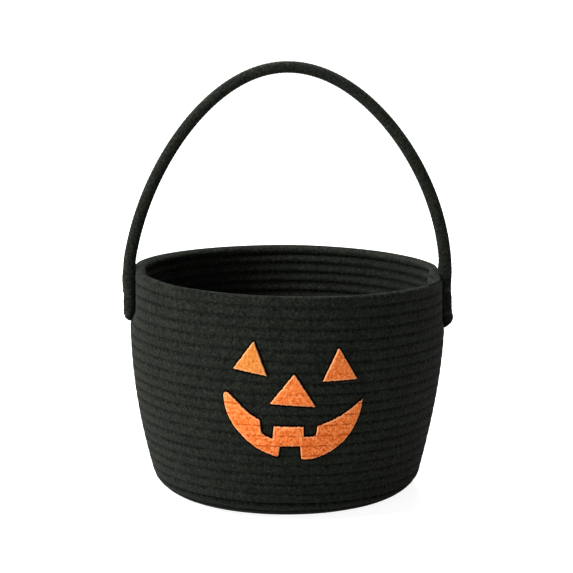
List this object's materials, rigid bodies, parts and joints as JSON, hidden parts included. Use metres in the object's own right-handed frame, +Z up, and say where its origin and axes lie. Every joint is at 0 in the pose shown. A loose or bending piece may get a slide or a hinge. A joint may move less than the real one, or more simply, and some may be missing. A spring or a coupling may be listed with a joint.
{
  "type": "rope candy basket",
  "caption": "Round tub coiled from cotton rope, with a standing rope arch handle sewn to its sides and a felt grinning pumpkin face on its front.",
  "frame": {"origin": "centre of the flat underside, where the basket stands", "axes": "+Z up, -Y out of the face, X through the two feet of the handle"},
  "size_m": [0.2368, 0.221, 0.3049],
  "materials": {
    "rope": "matt black braided cotton rope, sewn course to course",
    "handle_rope": "matt black braided cotton rope",
    "thread": "black sewing thread",
    "felt": "orange felt with loose fibres"
  },
  "bodies": {
    "basket": {"base_coil": "rope", "wall_rope": "rope", "handle_tail_left": "handle_rope", "handle_tail_right": "handle_rope", "tail_stitches_left_upper": "thread", "tail_stitches_left_lower": "thread", "tail_stitches_right_upper": "thread", "tail_stitches_right_lower": "thread", "eye_patch_left": "felt", "eye_patch_right": "felt", "nose_patch": "felt", "mouth_patch": "felt"},
    "handle": {"handle_arch": "handle_rope"}
  },
  "joints": [
    {"name": "handle_swing", "type": "hinge", "parent": "basket", "child": "handle", "pos_m": [0, 0, 0.1635], "axis": [1, 0, 0], "range_deg": [-88, 88], "stiffness_Nm_per_rad": 0.04}
  ]
}
